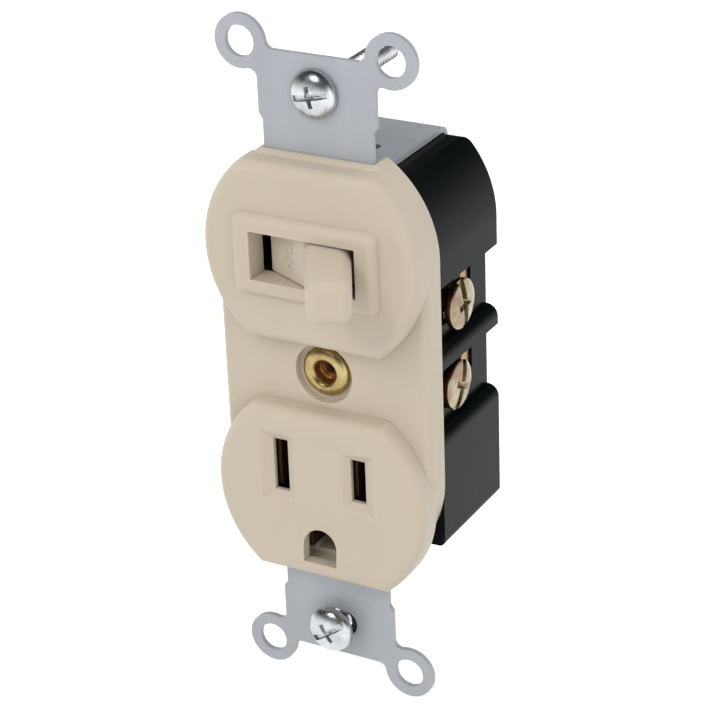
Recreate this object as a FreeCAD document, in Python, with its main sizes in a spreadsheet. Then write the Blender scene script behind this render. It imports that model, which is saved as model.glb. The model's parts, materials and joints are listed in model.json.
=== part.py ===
"""Combination wall device: a toggle switch above one grounded socket, on a folded steel strap.

Frame: +Z up, +X right as seen from the front, the viewer at -Y. The origin is on the wall plane
(the back of the strap's ears), midway between the two mounting screws. Millimetres.
"""
import FreeCAD, Part
import os
import re
import Sketcher
from FreeCAD import Placement, Rotation, Vector

# Driving sizes in millimetres and degrees. Depths count from the wall plane.
SIZES = {
    # strap
    "screw_spacing": 83.34, "strap_gauge": 0.8, "strap_bend": 0.8, "neck_width": 17.2,
    "ear_plate_width": 18.4, "ear_plate_height": 94.0, "shoulder_height": 75.4,
    "shoulder_slope": 0.9, "ear_pitch_across": 23.4, "ear_pitch_along": 95.2, "ear_radius": 3.95,
    "ear_hole": 4.55, "ear_fillet": 1.2, "screw_slot_length": 6.2, "screw_slot_width": 4.2,
    "back_width": 12.0, "plate_hole": 2.2, "plate_hole_across": 3.2, "plate_hole_depth": 9.0,
    # cover
    "face_spacing": 37.3, "face_height": 26.7, "face_front": 5.5, "face_round": 1.6,
    "flange_front": 2.0, "flange_round": 1.1, "cover_lip": 0.2, "lower_lift": 3.0,
    "cover_height": 65.4, "cover_wall": 1.8, "frame_width": 22.2, "frame_height": 11.4,
    "frame_rise": 1.3, "frame_slope": 0.6, "frame_round": 1.3, "window_width": 16.8,
    "window_height": 7.3, "window_depth": 3.9, "collar_wall": 1.2, "slot_pitch": 12.7,
    "slot_line": 3.8, "slot_width": 2.4, "neutral_slot": 8.35, "hot_slot": 6.85,
    "funnel_side": 2.0, "funnel_end": 1.6, "funnel_depth": 1.1, "dish_round": 1.5,
    "valley_half": 8.1, "valley_slope": 3.0, "valley_depth": 0.45, "ground_drop": 11.89,
    "ground_radius": 2.75, "ground_foot": 2.75, "rivet_recess": 9.2, "rivet_recess_depth": 1.2,
    # base
    "parting": 2.3, "body_back": 20.5, "base_width": 33.2, "base_top": 30.2, "base_bottom": 26.5,
    "base_tail": 18.4, "base_wall": 1.8, "base_floor": 2.0, "tail_wall": 1.0, "corner_round": 1.1,
    "recess_depth": 1.9, "recess_top": 14.2, "fin_top": 4.6, "fin_bottom": 1.6, "block_top": 8.4,
    "fin_round": 1.8, "window_front": 5.0, "window_half": 2.5, "strip_front": 12.4,
    "window_back": 15.6, "partition": 1.6,
    # toggle, worked out from its pivot
    "pivot_depth": 0.55, "toggle_tilt": 30.0, "lever_reach": 20.6, "lever_root": 6.6,
    "lever_tip": 6.2, "lever_taper": 0.4, "lever_round": 1.7, "shoulder_rise": 5.9,
    "skirt_span": 15.6, "skirt_drop": 0.6, "skirt_thick": 1.4, "trunnion": 3.0,
    "trunnion_length": 12.2, "post_width": 5.4, "boss": 5.0, "boss_drop": 8.0, "spring_bore": 3.2,
    "spring_wire": 0.45, "spring_coil": 2.4, "spring_seat": 2.6, "spring_turns": 5.0,
    "plunger_drop": 9.5, "plunger_top": 6.4,
    # contact rocker
    "rocker_gap": 0.25, "rocker_strip": 0.7, "rocker_width": 5.0, "rocker_span": 19.0,
    "rocker_arc": 10.0, "rocker_tilt": 8.0, "rocker_pin": 1.6, "tip_radius": 1.6, "tip_height": 0.8,
    "tip_place": 7.9,
    # terminals
    "brass": 0.8, "plate_inset": 0.4, "plate_front": 3.5, "screw_depth": 9.35,
    "line_screw_high": 9.3, "line_screw_low": 3.5, "ground_screw_low": 20.5, "ground_recess": 8.6,
    "terminal_head": 7.5, "terminal_head_height": 1.6, "terminal_shank": 4.1,
    "terminal_length": 6.6, "backed_out": 0.7, "ear_thick": 0.7, "arm_depth": 13.6,
    "contact_arm_depth": 14.5, "fixed_arm_depth": 12.1, "tab_web": 2.0, "tab_slot": 1.0,
    # socket contacts
    "blade_gap": 1.7, "leaf": 0.6, "leaf_front": 2.9, "ground_gap": 5.1, "ground_base": 12.9,
    "ground_tail": 5.0,
    # fasteners
    "mount_head": 7.1, "mount_head_height": 2.2, "mount_shank": 3.45, "mount_length": 22.0,
    "mount_neck": 2.75, "neck_length": 3.9, "bottom_proud": 2.0, "driver_slot": 1.0,
    "driver_depth": 0.9, "head_round": 0.6, "washer": 8.4, "washer_thick": 0.8, "rivet_head": 7.6,
    "rivet_barrel": 5.0, "rivet_bore": 3.4, "rivet_rim": 0.8,
    # clearances
    "fit": 0.05, "gap": 0.1, "easy": 0.2,
}

doc = FreeCAD.newDocument("wall_device")
sheet = doc.addObject("Spreadsheet::Sheet", "Sizes")
for row, (alias, number) in enumerate(SIZES.items(), start=1):
    sheet.set(f"A{row}", alias)
    sheet.set(f"B{row}", str(number))
    sheet.setAlias(f"B{row}", alias)
doc.recompute()

WORD = re.compile(r"[a-z_]+")
nodes = []


def bound(text):
    """An expression in which each size's name points at its cell."""
    return WORD.sub(lambda match: "Sizes." + match[0] if match[0] in SIZES else match[0], str(text))


def value(text):
    """The number that an expression of sizes gives now."""
    return float(FreeCAD.Units.Quantity(str(sheet.evalExpression(bound(text)))).Value)


def move(piece, x="0", y="0", z="0"):
    for axis, place in zip("xyz", (x, y, z)):
        piece.setExpression(f"Placement.Base.{axis}", bound(place))
    return piece


def box(name, x, y, z):
    """A block between two values on each axis."""
    piece = doc.addObject("Part::Box", name)
    for side, (low, high) in zip(("Length", "Width", "Height"), (x, y, z)):
        piece.setExpression(side, bound(f"({high}) - ({low})"))
    return move(piece, x[0], y[0], z[0])


TURNS = {"x": Rotation(Vector(0, 1, 0), 90), "y": Rotation(Vector(1, 0, 0), -90), "z": Rotation()}


def rod(name, axis, centre, diameter, span):
    """A cylinder along an axis. centre holds its place on the other two axes, in x, y, z order."""
    piece = doc.addObject("Part::Cylinder", name)
    piece.Placement = Placement(Vector(), TURNS[axis])
    piece.setExpression("Radius", bound(f"({diameter}) / 2"))
    piece.setExpression("Height", bound(f"({span[1]}) - ({span[0]})"))
    place = list(centre)
    place.insert("xyz".index(axis), span[0])
    return move(piece, *place)


PLANES = {"xz": (Rotation(Vector(1, 0, 0), 90), (0, 1, 0), "y"),
          "xy": (Rotation(), (0, 0, 1), "z"),
          "yz": (Rotation(Vector(1, 1, 1), 120), (1, 0, 0), "x")}


def prism(name, plane, points, span):
    """A sketched outline of straight edges, drawn out along the third axis."""
    turn, direction, axis = PLANES[plane]
    sketch = doc.addObject("Sketcher::SketchObject", name + "_sketch")
    sketch.Placement = Placement(Vector(), turn)
    corners = [Vector(value(u), value(v), 0) for u, v in points]
    for start, end in zip(corners, corners[1:] + corners[:1]):
        sketch.addGeometry(Part.LineSegment(start, end))
    count = len(corners)
    for index in range(count):
        sketch.addConstraint(Sketcher.Constraint("Coincident", index, 2, (index + 1) % count, 1))
    for index, (u, v) in enumerate(points):
        for kind, text, number in (("DistanceX", u, corners[index].x), ("DistanceY", v, corners[index].y)):
            which = sketch.addConstraint(Sketcher.Constraint(kind, index, 1, number))
            sketch.setExpression(f"Constraints[{which}]", bound(text))
    sketch.setExpression(f"Placement.Base.{axis}", bound(span[0]))
    piece = doc.addObject("Part::Extrusion", name)
    piece.Base = sketch
    piece.DirMode = "Custom"
    piece.Dir = direction
    piece.Solid = True
    piece.setExpression("LengthFwd", bound(f"({span[1]}) - ({span[0]})"))
    return piece


WEDGE_SIDES = ("Ymin", "Ymax", "Xmin", "Xmax", "Zmin", "Zmax", "X2min", "X2max", "Z2min", "Z2max")


def frustum(name, y, front, back):
    """A four-sided taper along Y. front and back hold (x low, x high, z low, z high) at its two ends."""
    piece = doc.addObject("Part::Wedge", name)
    for side, text in zip(WEDGE_SIDES, (*y, *front, *back)):
        piece.setExpression(side, bound(text))
    return piece


def fuse(name, *pieces):
    piece = doc.addObject("Part::MultiFuse", name)
    piece.Shapes = list(pieces)
    return piece


def common(name, *pieces):
    piece = doc.addObject("Part::MultiCommon", name)
    piece.Shapes = list(pieces)
    return piece


def cut(name, base, *tools):
    piece = doc.addObject("Part::Cut", name)
    piece.Base = base
    piece.Tool = tools[0] if len(tools) == 1 else fuse(name + "_tools", *tools)
    return piece


def rounded(name, base, radius, wanted):
    """Round the edges that wanted(edge) picks."""
    doc.recompute()
    size = value(radius)
    picked = [(index, size, size) for index, edge in enumerate(base.Shape.Edges, start=1) if wanted(edge)]
    piece = doc.addObject("Part::Fillet", name)
    piece.Base = base
    piece.Edges = picked
    return piece


def node(piece, name):
    """Name a finished sub-part."""
    piece.Label = name
    nodes.append(piece)
    return piece


def middle(edge):
    return edge.valueAt((edge.FirstParameter + edge.LastParameter) / 2)


def near(first, second):
    return abs(first - second) < 0.02


def flat_at(edge, depth):
    """True where an edge lies in the plane at that depth."""
    box_of = edge.BoundBox
    return near(box_of.YMin, depth) and near(box_of.YMax, depth)


def along(edge, axis):
    """True where an edge is straight and runs along an axis."""
    if not isinstance(edge.Curve, Part.Line):
        return False
    return abs(getattr(edge.Curve.Direction, axis)) > 0.999


def mirrored(span):
    """The same span on the other side of the middle plane."""
    return (f"-({span[1]})", f"-({span[0]})")


# Lines that several pieces share.
HIGH = "face_spacing / 2"
LOW = "-face_spacing / 2"
BLADE_LINE = f"({LOW} + slot_line)"
GROUND_LINE = f"({LOW} + slot_line - ground_drop)"
TOGGLE_PLACE = ("0", "pivot_depth", HIGH)
ARC = "(plunger_drop + rocker_gap)"
ROCKER_DEPTH = f"(pivot_depth + {ARC} + rocker_strip / 2)"
RECESS_FLOOR = "(base_width / 2 - recess_depth)"
PLATE_OUTER = f"({RECESS_FLOOR} - plate_inset)"
PLATE_INNER = f"({RECESS_FLOOR} - plate_inset - brass)"
PLATE_MIDDLE = f"({RECESS_FLOOR} - plate_inset - brass / 2)"
COVER_WIDTH = "(base_width + 2 * cover_lip)"
FACE_RADIUS = "(base_width / 2 + 2 * cover_lip)"


def capsule(name, width, height, y):
    """The flange's outline: straight sides, a round end at the top and a shorter one at the bottom."""
    sides = box(name + "_sides", (f"-({width}) / 2", f"({width}) / 2"), y, (f"{LOW} + lower_lift", HIGH))
    top = rod(name + "_top", "y", ("0", HIGH), width, y)
    bottom = rod(name + "_bottom", "y", ("0", f"{LOW} + lower_lift"), width, y)
    band = box(name + "_band", (f"-({width})", width), y, (f"-({height}) / 2", f"({height}) / 2"))
    return common(name, fuse(name + "_whole", sides, top, bottom), band)


def face(name, centre, radius, height, y):
    """A round face with a flat top and a flat bottom."""
    disc = rod(name + "_disc", "y", ("0", centre), f"2 * ({radius})", y)
    band = box(name + "_band", (f"-({radius})", radius), y,
               (f"{centre} - ({height}) / 2", f"{centre} + ({height}) / 2"))
    return common(name, disc, band)


def build_strap():
    """Zinc plated steel, folded round the body: two ear plates, a top, a bottom and a back."""
    level = "base_top + gap"
    outer = "base_top + gap + strap_gauge"
    plates = []
    for name, side in (("top", 1), ("bottom", -1)):
        def place(text, side=side):
            return text if side > 0 else f"-({text})"
        outline = [("-neck_width / 2", place(outer)), ("neck_width / 2", place(outer)),
                   ("neck_width / 2", place("shoulder_height / 2 - shoulder_slope")),
                   ("ear_plate_width / 2", place("shoulder_height / 2")),
                   ("ear_plate_width / 2", place("ear_plate_height / 2")),
                   ("-ear_plate_width / 2", place("ear_plate_height / 2")),
                   ("-ear_plate_width / 2", place("shoulder_height / 2")),
                   ("-neck_width / 2", place("shoulder_height / 2 - shoulder_slope"))]
        plate = prism(f"ear_plate_{name}", "xz", outline, ("-strap_gauge", "0"))
        centre = place("ear_pitch_along / 2")
        rings = [rod(f"ear_{name}_{hand}", "y", (f"{sign}ear_pitch_across / 2", centre), "2 * ear_radius",
                     ("-strap_gauge", "0")) for hand, sign in (("left", "-"), ("right", ""))]
        plates.append(fuse(f"ears_{name}", plate, *rings))
    ears = fuse("ears", *plates)

    tip = value("ear_plate_height / 2")
    shoulder = value("shoulder_height / 2")
    side_line = value("ear_plate_width / 2")

    def concave(edge):
        if not along(edge, "y"):
            return False
        place = middle(edge)
        on_tip = near(abs(place.z), tip) and abs(place.x) < side_line - 0.1
        beside = near(abs(place.x), side_line)
        return on_tip or (beside and shoulder + 0.1 < abs(place.z) < tip - 0.1)

    ears = rounded("ears_rounded", ears, "ear_fillet", concave)
    loop = box("loop", ("-neck_width / 2", "neck_width / 2"), ("-strap_gauge", "body_back + strap_gauge"),
               (f"-({outer})", outer))
    hollow = box("loop_hollow", ("-neck_width", "neck_width"), ("0", "body_back"), (f"-({level})", level))
    doc.recompute()
    edge_top = value(outer)
    back = value("body_back + strap_gauge")

    def back_corner(edge):
        place = middle(edge)
        return along(edge, "x") and near(abs(place.z), edge_top) and near(place.y, back)

    loop = rounded("loop_rounded", loop, "strap_bend + strap_gauge", back_corner)
    hollow_back = value("body_back")
    hollow_top = value(level)

    def hollow_corner(edge):
        place = middle(edge)
        return along(edge, "x") and near(abs(place.z), hollow_top) and near(place.y, hollow_back)

    hollow = rounded("hollow_rounded", hollow, "strap_bend", hollow_corner)
    front = box("loop_front", ("-neck_width", "neck_width"), ("-2 * strap_gauge", "0"),
                (f"-({level})", level))
    wrap = cut("wrap", loop, hollow, front)
    folds = []
    for name, sign in (("top", ""), ("bottom", "-")):
        # the fold from the ear plate back over the body: round outside and inside
        inner = f"{outer} + strap_bend"
        reach = "strap_gauge + strap_bend"
        low, high = (level, inner) if not sign else (f"-({inner})", f"-({level})")
        block = box(f"fold_{name}", ("-neck_width / 2", "neck_width / 2"), ("-strap_gauge", "strap_bend"),
                    (low, high))
        around = rod(f"fold_round_{name}", "x", ("strap_bend", f"{sign}({inner})"), f"2 * ({reach})",
                     ("-neck_width / 2", "neck_width / 2"))
        inside = rod(f"fold_inside_{name}", "x", ("strap_bend", f"{sign}({inner})"), "2 * strap_bend",
                     ("-neck_width", "neck_width"))
        folds.append(cut(f"fold_done_{name}", common(f"fold_common_{name}", block, around), inside))
        square = box(f"fold_square_{name}", ("-neck_width", "neck_width"), ("-2 * strap_gauge", "strap_bend"),
                     (low, high))
        wrap = cut(f"wrap_{name}", wrap, square)
        trim = box(f"ears_trim_{name}", ("-neck_width", "neck_width"), ("-2 * strap_gauge", "strap_bend"),
                   (low, high))
        ears = cut(f"ears_{name}_trimmed", ears, trim)
    waist = [box(f"waist_{hand}", x, ("body_back - strap_bend", "body_back + 2 * strap_gauge"),
                 ("-base_bottom", "base_bottom"))
             for hand, x in (("left", ("-neck_width", "-back_width / 2")),
                             ("right", ("back_width / 2", "neck_width")))]
    holes = [rod(f"ear_hole_{name}_{hand}", "y", (f"{sign}ear_pitch_across / 2", f"{up}ear_pitch_along / 2"),
                 "ear_hole", ("-2 * strap_gauge", "strap_gauge"))
             for name, up in (("top", ""), ("bottom", "-")) for hand, sign in (("left", "-"), ("right", ""))]
    run = "(screw_slot_length - screw_slot_width) / 2"
    for name, up in (("top", ""), ("bottom", "-")):
        z = f"{up}screw_spacing / 2"
        holes.append(box(f"slot_{name}", (f"-{run}", run), ("-2 * strap_gauge", "strap_gauge"),
                         (f"{z} - screw_slot_width / 2", f"{z} + screw_slot_width / 2")))
        for hand, sign in (("left", "-"), ("right", "")):
            holes.append(rod(f"slot_{name}_{hand}", "y", (f"{sign}{run}", z), "screw_slot_width",
                             ("-2 * strap_gauge", "strap_gauge")))
    holes.append(rod("rivet_hole_back", "y", ("0", "0"), "rivet_barrel + 2 * fit",
                     ("body_back - strap_gauge", "body_back + 2 * strap_gauge")))
    holes.append(rod("top_plate_hole", "z", ("plate_hole_across", "plate_hole_depth"), "plate_hole",
                     ("base_top - 1", "base_top + 3 * strap_gauge")))
    node(cut("strap", fuse("strap_whole", ears, wrap, *folds), *waist, *holes), "mounting_strap")


BLADES = (("neutral_way", "-slot_pitch / 2", "neutral_slot"), ("hot_way", "slot_pitch / 2", "hot_slot"))


def slot_edges(x, height, side="0", end="0"):
    """The four limits of a blade slot, widened by the same amount on each side and at each end."""
    wide = f"(slot_width / 2 + {side})"
    tall = f"({height} / 2 + {end})"
    return (f"{x} - {wide}", f"{x} + {wide}", f"{BLADE_LINE} - {tall}", f"{BLADE_LINE} + {tall}")


def dished(lower_face):
    """Sink a shallow valley between the blade slots, and a sloped lead-in round each slot."""
    valley = frustum("valley", ("-face_front", "-face_front + valley_depth"),
                     ("-valley_half", "valley_half", f"{GROUND_LINE} - ground_foot / 2",
                      f"{BLADE_LINE} + neutral_slot / 2 + valley_slope"),
                     ("-valley_half + valley_slope", "valley_half - valley_slope",
                      f"{GROUND_LINE} + ground_radius", f"{BLADE_LINE} + neutral_slot / 2"))
    leads = [frustum(f"{name}_lead", ("-face_front", "-face_front + funnel_depth"),
                     slot_edges(x, height, "funnel_side", "funnel_end"), slot_edges(x, height))
             for name, x, height in BLADES]
    sunk = cut("lower_face_sunk", lower_face, valley, *leads)
    surface = value("-face_front")
    limit = value("valley_half + funnel_side")

    def rim_of_dish(edge):
        return flat_at(edge, surface) and isinstance(edge.Curve, Part.Line) and abs(middle(edge).x) < limit \
            and abs(middle(edge).z - value(LOW)) < value("face_height / 2 - face_round") - 0.1

    return rounded("lower_face_soft", sunk, "dish_round", rim_of_dish)


def blade_slot(name, x, height):
    limits = slot_edges(x, height)
    return box(name, limits[:2], ("-2 * face_front", "parting"), limits[2:])


def build_cover():
    """Ivory moulded thermoplastic: a flange with two raised faces, hollow behind."""
    flange = capsule("flange", COVER_WIDTH, "cover_height", ("-flange_front", "parting"))
    front = value("-flange_front")
    flange = rounded("flange_rounded", flange, "flange_round", lambda edge: flat_at(edge, front))
    faces = []
    surface = value("-face_front")
    for name, centre in (("upper", HIGH), ("lower", LOW)):
        plain = face(f"{name}_face", centre, FACE_RADIUS, "face_height",
                     ("-face_front", "-flange_front + flange_round"))
        faces.append(rounded(f"{name}_face_rounded", plain, "face_round",
                             lambda edge: flat_at(edge, surface)))
    faces[1] = dished(faces[1])
    back = ("-frame_width / 2 - frame_slope", "frame_width / 2 + frame_slope",
            f"{HIGH} - frame_height / 2 - frame_slope", f"{HIGH} + frame_height / 2 + frame_slope")
    front = ("-frame_width / 2", "frame_width / 2", f"{HIGH} - frame_height / 2",
             f"{HIGH} + frame_height / 2")
    frame = frustum("switch_frame", ("-face_front - frame_rise", "-face_front + frame_slope"), front, back)
    root = value("-face_front + frame_slope")
    frame = rounded("switch_frame_rounded", frame, "frame_round",
                    lambda edge: not flat_at(edge, root))
    body = fuse("cover_outside", flange, *faces, frame)

    inner_width = f"{COVER_WIDTH} - 2 * cover_wall"
    inner_height = "cover_height - 2 * cover_wall"
    wells = [face(f"{name}_well", centre, f"{FACE_RADIUS} - cover_wall", "face_height - 2 * cover_wall",
                  ("-face_front + cover_wall", "parting"))
             for name, centre in (("upper", HIGH), ("lower", LOW))]
    # the wells keep a full wall inside the flange, whose round ends sit nearer the middle
    inside = capsule("well_limit", inner_width, inner_height, ("-face_front", "parting"))
    shell = cut("cover_shell", body,
                capsule("flange_hollow", inner_width, inner_height, ("-flange_front + cover_wall", "parting")),
                common("wells_limited", fuse("wells", *wells), inside))

    collar = box("collar", ("-window_width / 2 - collar_wall", "window_width / 2 + collar_wall"),
                 ("-face_front", "-face_front - frame_rise + window_depth"),
                 (f"{HIGH} - window_height / 2 - collar_wall", f"{HIGH} + window_height / 2 + collar_wall"))
    caps = [box(f"bearing_cap_{name}", ("-post_width / 2", "post_width / 2"),
                ("-face_front + cover_wall / 2", "pivot_depth - gap"), z) for name, z in post_spans()]
    seat_depth = ("-flange_front + flange_round - gap", "parting")
    seats = [box(f"strap_seat_{name}", ("-neck_width / 2 - cover_wall", "neck_width / 2 + cover_wall"),
                 seat_depth, z)
             for name, z in (("top", ("base_top - cover_wall", "base_top")),
                             ("bottom", ("-base_top", "-base_top + cover_wall")))]
    trimmed = common("strap_seats", fuse("strap_seats_whole", *seats),
                     capsule("seat_limit", COVER_WIDTH, "cover_height", seat_depth))
    boss = rod("cover_boss", "y", ("0", "0"), "rivet_recess + 2 * cover_wall",
               ("-flange_front + cover_wall / 2", "parting"))
    solid = fuse("cover_solid", shell, collar, *caps, trimmed, boss)

    cuts = [box("window_cut", ("-window_width / 2", "window_width / 2"),
                ("-2 * face_front", "-face_front - frame_rise + window_depth"),
                (f"{HIGH} - window_height / 2", f"{HIGH} + window_height / 2"))]
    cuts.append(trunnion_bore("cap_bore"))
    cuts += [blade_slot(name, x, height) for name, x, height in BLADES]
    cuts.append(rod("ground_round", "y", ("0", GROUND_LINE), "2 * ground_radius",
                    ("-2 * face_front", "parting")))
    cuts.append(box("ground_foot_cut", ("-ground_radius", "ground_radius"), ("-2 * face_front", "parting"),
                    (f"{GROUND_LINE} - ground_foot", GROUND_LINE)))
    cuts.append(rod("rivet_recess_cut", "y", ("0", "0"), "rivet_recess",
                    ("-2 * flange_front", "-flange_front + rivet_recess_depth")))
    cuts.append(rod("rivet_way", "y", ("0", "0"), "rivet_barrel + 2 * fit",
                    ("-2 * flange_front", "2 * parting")))
    for name, z in (("top", ("base_top", "cover_height")), ("bottom", ("-cover_height", "-base_top"))):
        cuts.append(box(f"strap_notch_{name}", ("-neck_width / 2 - gap", "neck_width / 2 + gap"),
                        ("-strap_gauge - gap", "2 * parting"), z))
    node(cut("cover", solid, *cuts), "front_cover")


def trunnion_bore(name):
    """The round seat of the toggle's two trunnions, which the cover and the base share."""
    return rod(name, "z", ("0", "pivot_depth"), "trunnion + 4 * fit",
               (f"{HIGH} - trunnion_length", f"{HIGH} + trunnion_length"))


def post_spans():
    """The two bearings beside the toggle, each a span in Z."""
    inside = "window_height / 2 + easy"
    outside = "trunnion_length / 2 + easy"
    return (("low", (f"{HIGH} - ({outside})", f"{HIGH} - ({inside})")),
            ("high", (f"{HIGH} + {inside}", f"{HIGH} + {outside}")))


# Each screw recess: its name, its two ends in Z and its screw's height.
RECESSES = (("upper", "fin_top", "recess_top", "line_screw_high"),
            ("lower", "-block_top", "fin_bottom", "-line_screw_low"))


def build_base():
    """Black moulded plastic: an open box with a recess for each terminal screw."""
    y = ("parting", "body_back")
    half = "base_width / 2"
    round_end = common("base_round_end", rod("base_disc", "y", ("0", HIGH), "base_width", y),
                       box("base_disc_band", (f"-{half}", half), y, ("0", "base_top")))
    middle_block = box("base_middle", (f"-{half}", half), y, ("-base_bottom", HIGH))
    tail = box("base_tail_block", ("-base_tail / 2", "base_tail / 2"), y, ("-base_top", "-base_bottom"))
    outside = fuse("base_outside", round_end, middle_block, tail)
    bottom = value("base_bottom")
    side = value(half)
    end = value("base_top")
    rear = value("body_back")

    def outer_corner(edge):
        place = middle(edge)
        if along(edge, "x"):
            return near(abs(place.z), end) and near(place.y, rear)
        low = near(place.z, -bottom) and near(abs(place.x), side)
        return along(edge, "y") and (low or near(place.z, end))

    outside = rounded("base_rounded", outside, "corner_round", outer_corner)

    recesses = []
    for hand, sign in (("right", 1), ("left", -1)):
        x = (RECESS_FLOOR, f"{half} + 1") if sign > 0 else mirrored((RECESS_FLOOR, f"{half} + 1"))
        for name, low, high, _ in RECESSES:
            recesses.append(box(f"recess_{hand}_{name}", x, ("parting - 1", "body_back + 1"), (low, high)))
    outside = cut("base_recessed", outside, *recesses)
    tops = (value("fin_top"), value("-block_top"))

    def ledge(edge):
        place = middle(edge)
        return along(edge, "y") and near(abs(place.x), side) and any(near(place.z, top) for top in tops)

    outside = rounded("base_ledges", outside, "fin_round", ledge)

    inner = "base_width / 2 - base_wall"
    shallow = "base_width / 2 - recess_depth - base_wall"
    depth = ("parting - 1", "body_back - base_floor")
    disc = rod("cavity_disc", "y", ("0", HIGH), f"2 * ({inner})", depth)
    cap = box("cavity_cap", (f"-({inner})", inner), depth, ("recess_top + base_wall", "base_top - base_wall"))
    upper_sides = box("cavity_upper_sides", (f"-({inner})", inner), depth, ("recess_top + base_wall", HIGH))
    cavities = [common("cavity_round", disc, cap), upper_sides,
                box("cavity_upper", (f"-({shallow})", shallow), depth,
                    ("partition / 2", "recess_top + 2 * base_wall")),
                box("cavity_lower", (f"-({shallow})", shallow), depth,
                    ("-block_top - base_wall", "-partition / 2")),
                box("cavity_socket", (f"-({inner})", inner), depth,
                    ("-base_bottom + base_wall", "-block_top - base_wall")),
                box("cavity_tail", ("-base_tail / 2 + base_wall", "base_tail / 2 - base_wall"), depth,
                    ("-base_top + tail_wall", "-base_bottom + 2 * base_wall"))]
    shell = cut("base_shell", outside, *cavities)

    posts = []
    for name, z in post_spans():
        posts.append(box(f"post_{name}", ("-post_width / 2", "post_width / 2"),
                         ("pivot_depth", "body_back - base_floor / 2"), z))
    boss = rod("base_boss", "y", ("0", "0"), "rivet_barrel + 2 * base_wall",
               ("parting", "body_back - base_floor / 2"))
    solid = fuse("base_solid", shell, boss, *posts)

    back = ("parting - 1", "window_back")
    skin = (f"{PLATE_OUTER} - gap", f"{RECESS_FLOOR} + 1")
    lining = (f"{shallow} - 1", f"{PLATE_INNER} + gap")
    pocket = (f"{PLATE_INNER} - gap", f"{PLATE_OUTER} + gap")
    screw_way = "(terminal_shank / 2 + easy)"
    cuts = []
    for hand, side_of in (("right", lambda span: span), ("left", mirrored)):
        cuts.append(box(f"plate_pocket_{hand}", side_of(pocket), back,
                        ("-block_top - 2 * base_wall", "recess_top + 2 * base_wall")))
        for name, low, high, screw_z in RECESSES:
            cuts += [box(f"window_{hand}_{name}", side_of(skin),
                         ("screw_depth - window_half", "screw_depth + window_half"),
                         (f"{screw_z} - window_half", f"{screw_z} + window_half")),
                     box(f"strip_window_{hand}_{name}", side_of(skin), ("strip_front", "window_back"),
                         (screw_z, high)),
                     box(f"screw_way_{hand}_{name}", side_of(lining),
                         ("parting - 1", f"screw_depth + {screw_way}"),
                         (f"{screw_z} - {screw_way}", f"{screw_z} + {screw_way}"))]
    cuts.append(box("recess_ground", mirrored((f"{inner} - 1", f"{half} + 1")),
                    ("window_front", "window_back"),
                    ("-ground_screw_low - ground_recess / 2", "-ground_screw_low + ground_recess / 2")))
    cuts.append(trunnion_bore("post_bore"))
    cuts.append(rod("base_rivet_way", "y", ("0", "0"), "rivet_barrel + 2 * fit", ("0", "body_back + 1")))
    cuts.append(box("ground_tail_way", ("-ground_tail / 2 - gap", "ground_tail / 2 + gap"),
                    ("ground_base - gap", "ground_base + brass + gap"), ("-base_top - 1", "-base_bottom")))
    node(cut("base", solid, *cuts), "base_housing")


def placed(name, piece, place, angle):
    """A piece drawn about its own pivot, set at its place and turned about Z."""
    group = doc.addObject("Part::Compound", name)
    group.Links = [piece]
    group.Placement = Placement(Vector(), Rotation(Vector(0, 0, 1), 1))
    group.setExpression("Placement.Rotation.Angle", bound(angle))
    return move(group, *place)


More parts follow.
